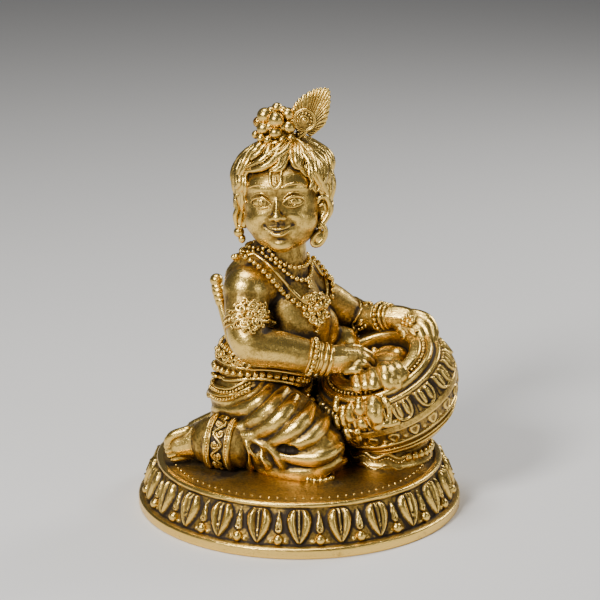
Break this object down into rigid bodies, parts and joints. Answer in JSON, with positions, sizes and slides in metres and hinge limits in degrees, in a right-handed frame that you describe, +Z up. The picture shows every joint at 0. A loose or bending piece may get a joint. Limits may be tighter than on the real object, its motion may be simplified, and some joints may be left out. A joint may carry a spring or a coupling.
{
  "type": "laddu gopal idol",
  "caption": "Cast brass figure of the child Krishna kneeling on a round lotus plinth and reaching into a tilted butter pot.",
  "frame": {"origin": "centre of the plinth's underside", "axes": "+Z up, +X to the viewer's right, +Y away from the viewer, who faces the idol's front"},
  "size_m": [0.13, 0.13, 0.1682],
  "materials": {
    "antique_brass": "antique gold brass, worn bright on the high spots, dark brown in the recesses"
  },
  "bodies": {
    "root": {"lotus_plinth": "antique_brass", "butter_pot": "antique_brass", "kneeling_child": "antique_brass"}
  },
  "joints": []
}
